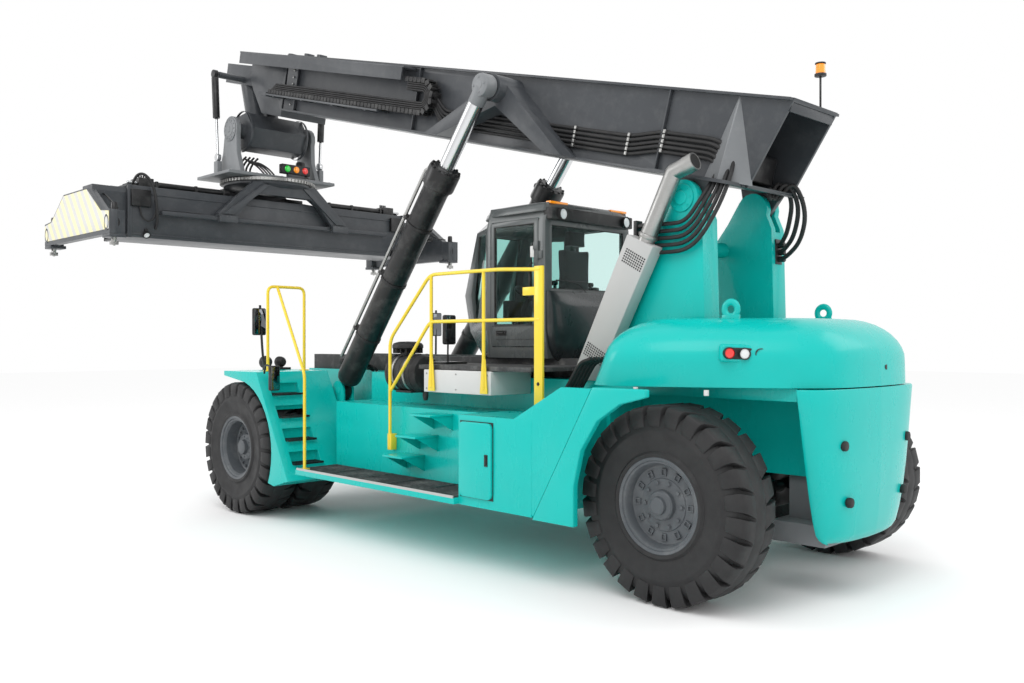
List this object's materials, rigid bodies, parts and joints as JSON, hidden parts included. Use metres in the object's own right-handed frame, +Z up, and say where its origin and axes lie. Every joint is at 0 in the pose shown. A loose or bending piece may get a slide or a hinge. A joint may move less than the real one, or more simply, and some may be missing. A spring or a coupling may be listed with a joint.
{
  "type": "reach stacker",
  "caption": "Wheeled container handler with a telescopic boom on rear towers, lift cylinders, a sliding cab and a slewing telescopic spreader with twistlocks.",
  "frame": {"origin": "on the ground, at the centre of the bounding box in plan", "axes": "+Z up, the machine faces -Y, its left side is +X"},
  "size_m": [6.06, 11.404, 6.8084],
  "materials": {
    "teal_paint": "gloss",
    "boom_grey_paint": "satin",
    "cab_grey_paint": "satin",
    "black_paint": "satin",
    "tyre": "matte",
    "rim_grey_paint": "satin",
    "chromed_rod": "polished",
    "bare_steel": "brushed",
    "yellow_paint": "gloss",
    "white_paint": "gloss",
    "seat_cloth": "woven",
    "window_glass": "clear",
    "hazard_paint": "satin",
    "plastic_black": "grained",
    "lamp_lens": "clear",
    "hose_rubber": "matte",
    "amber_lens": "clear",
    "mirror_glass": "polished"
  },
  "bodies": {
    "chassis": {"main_frame": "teal_paint", "engine_block": "black_paint", "front_axle": "black_paint", "steer_axle": "black_paint", "hood": "teal_paint", "counterweight": "teal_paint", "boom_towers": "teal_paint", "exhaust_duct": "bare_steel", "air_cleaner": "black_paint", "battery_box": "white_paint", "cab_deck": "black_paint", "platform_railing": "yellow_paint", "front_handrail": "yellow_paint", "side_box_left": "teal_paint", "rear_fender_left": "teal_paint", "front_fender_left": "teal_paint", "side_box_right": "teal_paint", "rear_fender_right": "teal_paint", "front_fender_right": "teal_paint"},
    "front_wheel_left": {"front_outer_tyre_left": "tyre", "front_inner_tyre_left": "tyre", "front_rim_left": "rim_grey_paint"},
    "steering_knuckle_left_body": {"steering_knuckle_left": "black_paint"},
    "rear_wheel_left": {"rear_tyre_left": "tyre", "rear_rim_left": "rim_grey_paint"},
    "front_wheel_right": {"front_outer_tyre_right": "tyre", "front_inner_tyre_right": "tyre", "front_rim_right": "rim_grey_paint"},
    "steering_knuckle_right_body": {"steering_knuckle_right": "black_paint"},
    "rear_wheel_right": {"rear_tyre_right": "tyre", "rear_rim_right": "rim_grey_paint"},
    "outer_boom_body": {"outer_boom": "boom_grey_paint"},
    "inner_boom_body": {"inner_boom": "boom_grey_paint", "boom_nose": "boom_grey_paint"},
    "energy_chain_body": {"energy_chain": "black_paint"},
    "lift_barrel_left_body": {"lift_barrel_left": "black_paint"},
    "lift_rod_left_body": {"lift_rod_left": "chromed_rod"},
    "lift_barrel_right_body": {"lift_barrel_right": "black_paint"},
    "lift_rod_right_body": {"lift_rod_right": "chromed_rod"},
    "spreader_head": {"rotator_frame": "boom_grey_paint"},
    "damper_rod_left_body": {"damper_rod_left": "chromed_rod"},
    "damper_barrel_left_body": {"damper_barrel_left": "black_paint"},
    "damper_rod_right_body": {"damper_rod_right": "chromed_rod"},
    "damper_barrel_right_body": {"damper_barrel_right": "black_paint"},
    "slewing_body": {"slewing_carriage": "boom_grey_paint"},
    "spreader_beam_body": {"spreader_beam": "boom_grey_paint"},
    "spreader_arm_left_body": {"spreader_arm_left": "boom_grey_paint"},
    "spreader_arm_right_body": {"spreader_arm_right": "boom_grey_paint"},
    "twistlock_left_rear_body": {"twistlock_left_rear": "bare_steel"},
    "twistlock_left_front_body": {"twistlock_left_front": "bare_steel"},
    "twistlock_right_rear_body": {"twistlock_right_rear": "bare_steel"},
    "twistlock_right_front_body": {"twistlock_right_front": "bare_steel"},
    "cab": {"cab_shell": "cab_grey_paint", "operator_seat": "seat_cloth"},
    "cab_door_body": {"cab_door": "cab_grey_paint"},
    "side_door_body": {"side_door": "teal_paint"}
  },
  "joints": [
    {"name": "front_wheel_left_spin", "type": "hinge", "parent": "chassis", "child": "front_wheel_left", "pos_m": [1.515, -1.743, 0.831], "axis": [1, 0, 0], "continuous": true},
    {"name": "steering_left", "type": "hinge", "parent": "chassis", "child": "steering_knuckle_left_body", "pos_m": [1.1, 4.557, 0.831], "axis": [0, 0, 1], "range_deg": [-45, 45]},
    {"name": "rear_wheel_left_spin", "type": "hinge", "parent": "steering_knuckle_left_body", "child": "rear_wheel_left", "pos_m": [1.4, 4.557, 0.831], "axis": [1, 0, 0], "continuous": true},
    {"name": "front_wheel_right_spin", "type": "hinge", "parent": "chassis", "child": "front_wheel_right", "pos_m": [-1.515, -1.743, 0.831], "axis": [1, 0, 0], "continuous": true},
    {"name": "steering_right", "type": "hinge", "parent": "chassis", "child": "steering_knuckle_right_body", "pos_m": [-1.1, 4.557, 0.831], "axis": [0, 0, 1], "range_deg": [-45, 45]},
    {"name": "rear_wheel_right_spin", "type": "hinge", "parent": "steering_knuckle_right_body", "child": "rear_wheel_right", "pos_m": [-1.4, 4.557, 0.831], "axis": [1, 0, 0], "continuous": true},
    {"name": "boom_lift", "type": "hinge", "parent": "chassis", "child": "outer_boom_body", "pos_m": [0, 4.157, 3.5], "axis": [-1, 0, 0], "range_deg": [-14.7, 45.3]},
    {"name": "boom_extend", "type": "slide", "parent": "outer_boom_body", "child": "inner_boom_body", "axis": [0, 0.9673, -0.2538], "range_m": [-6.2, 0]},
    {"name": "energy_chain_slide", "type": "slide", "parent": "outer_boom_body", "child": "energy_chain_body", "axis": [0, 0.9673, -0.2538], "range_m": [-3.1, 0]},
    {"name": "lift_barrel_left_tilt", "type": "hinge", "parent": "chassis", "child": "lift_barrel_left_body", "pos_m": [0.885, -1.043, 1.54], "axis": [-1, 0, 0], "range_deg": [-1.05, 3.19]},
    {"name": "lift_rod_left_slide", "type": "slide", "parent": "lift_barrel_left_body", "child": "lift_rod_left_body", "axis": [0, 0.6178, 0.7863], "range_m": [-0.71, 2.19]},
    {"name": "lift_barrel_right_tilt", "type": "hinge", "parent": "chassis", "child": "lift_barrel_right_body", "pos_m": [-0.885, -1.043, 1.54], "axis": [-1, 0, 0], "range_deg": [-1.05, 3.19]},
    {"name": "lift_rod_right_slide", "type": "slide", "parent": "lift_barrel_right_body", "child": "lift_rod_right_body", "axis": [0, 0.6178, 0.7863], "range_m": [-0.71, 2.19]},
    {"name": "spreader_pitch", "type": "hinge", "parent": "inner_boom_body", "child": "spreader_head", "pos_m": [0, -4.393, 5.5], "axis": [1, 0, 0], "range_deg": [-14.7, 45.3]},
    {"name": "damper_left_tilt", "type": "hinge", "parent": "spreader_head", "child": "damper_rod_left_body", "pos_m": [0.8, -4.623, 5.08], "axis": [-1, 0, 0], "range_deg": [-10.18, 31.26]},
    {"name": "damper_left_slide", "type": "slide", "parent": "damper_rod_left_body", "child": "damper_barrel_left_body", "axis": [0, -0.0744, 0.9972], "range_m": [-0.0479, 0.1435]},
    {"name": "damper_right_tilt", "type": "hinge", "parent": "spreader_head", "child": "damper_rod_right_body", "pos_m": [-0.8, -4.203, 5.08], "axis": [-1, 0, 0], "range_deg": [-8.3, 25.46]},
    {"name": "damper_right_slide", "type": "slide", "parent": "damper_rod_right_body", "child": "damper_barrel_right_body", "axis": [0, 0.0665, 0.9978], "range_m": [-0.2171, 0.0718]},
    {"name": "rotator", "type": "hinge", "parent": "spreader_head", "child": "slewing_body", "pos_m": [0, -4.477, 4.75], "axis": [0, 0, 1], "range_deg": [-105, 195]},
    {"name": "side_shift", "type": "slide", "parent": "slewing_body", "child": "spreader_beam_body", "axis": [1, 0, 0], "range_m": [-0.8, 0.8]},
    {"name": "spreader_arm_left_slide", "type": "slide", "parent": "spreader_beam_body", "child": "spreader_arm_left_body", "axis": [1, 0, 0], "range_m": [0, 3.066]},
    {"name": "spreader_arm_right_slide", "type": "slide", "parent": "spreader_beam_body", "child": "spreader_arm_right_body", "axis": [-1, 0, 0], "range_m": [0, 3.066]},
    {"name": "twistlock_left_rear_turn", "type": "hinge", "parent": "spreader_arm_left_body", "child": "twistlock_left_rear_body", "pos_m": [2.9265, -3.3475, 3.6], "axis": [0, 0, 1], "range_deg": [0, 90]},
    {"name": "twistlock_left_front_turn", "type": "hinge", "parent": "spreader_arm_left_body", "child": "twistlock_left_front_body", "pos_m": [2.9265, -5.6065, 3.6], "axis": [0, 0, 1], "range_deg": [0, 90]},
    {"name": "twistlock_right_rear_turn", "type": "hinge", "parent": "spreader_arm_right_body", "child": "twistlock_right_rear_body", "pos_m": [-2.9265, -3.3475, 3.6], "axis": [0, 0, 1], "range_deg": [0, 90]},
    {"name": "twistlock_right_front_turn", "type": "hinge", "parent": "spreader_arm_right_body", "child": "twistlock_right_front_body", "pos_m": [-2.9265, -5.6065, 3.6], "axis": [0, 0, 1], "range_deg": [0, 90]},
    {"name": "cab_slide", "type": "slide", "parent": "chassis", "child": "cab", "axis": [0, 1, 0], "range_m": [-2, 0]},
    {"name": "cab_door_hinge", "type": "hinge", "parent": "cab", "child": "cab_door_body", "pos_m": [0.7125, 2.307, 2.8], "axis": [0, 0, 1], "range_deg": [0, 95]},
    {"name": "side_door_hinge", "type": "hinge", "parent": "chassis", "child": "side_door_body", "pos_m": [1.9603, 2.462, 1.06], "axis": [0, 0, -1], "range_deg": [0, 110]}
  ],
  "couplings": [
    {"joint": "steering_right", "follows": "steering_left", "ratio": 1},
    {"joint": "energy_chain_slide", "follows": "boom_extend", "ratio": 0.5},
    {"joint": "lift_barrel_left_tilt", "follows": "boom_lift", "ratio": 0.07},
    {"joint": "lift_rod_left_slide", "follows": "boom_lift", "m_per_rad": 2.76},
    {"joint": "lift_barrel_right_tilt", "follows": "boom_lift", "ratio": 0.07},
    {"joint": "lift_rod_right_slide", "follows": "boom_lift", "m_per_rad": 2.76},
    {"joint": "spreader_pitch", "follows": "boom_lift", "ratio": 1},
    {"joint": "damper_left_tilt", "follows": "boom_lift", "ratio": 0.689},
    {"joint": "damper_left_slide", "follows": "boom_lift", "m_per_rad": 0.179},
    {"joint": "damper_right_tilt", "follows": "boom_lift", "ratio": 0.561},
    {"joint": "damper_right_slide", "follows": "boom_lift", "m_per_rad": -0.272},
    {"joint": "spreader_arm_right_slide", "follows": "spreader_arm_left_slide", "ratio": 1},
    {"joint": "twistlock_left_front_turn", "follows": "twistlock_left_rear_turn", "ratio": 1},
    {"joint": "twistlock_right_rear_turn", "follows": "twistlock_left_rear_turn", "ratio": 1},
    {"joint": "twistlock_right_front_turn", "follows": "twistlock_left_rear_turn", "ratio": 1}
  ]
}
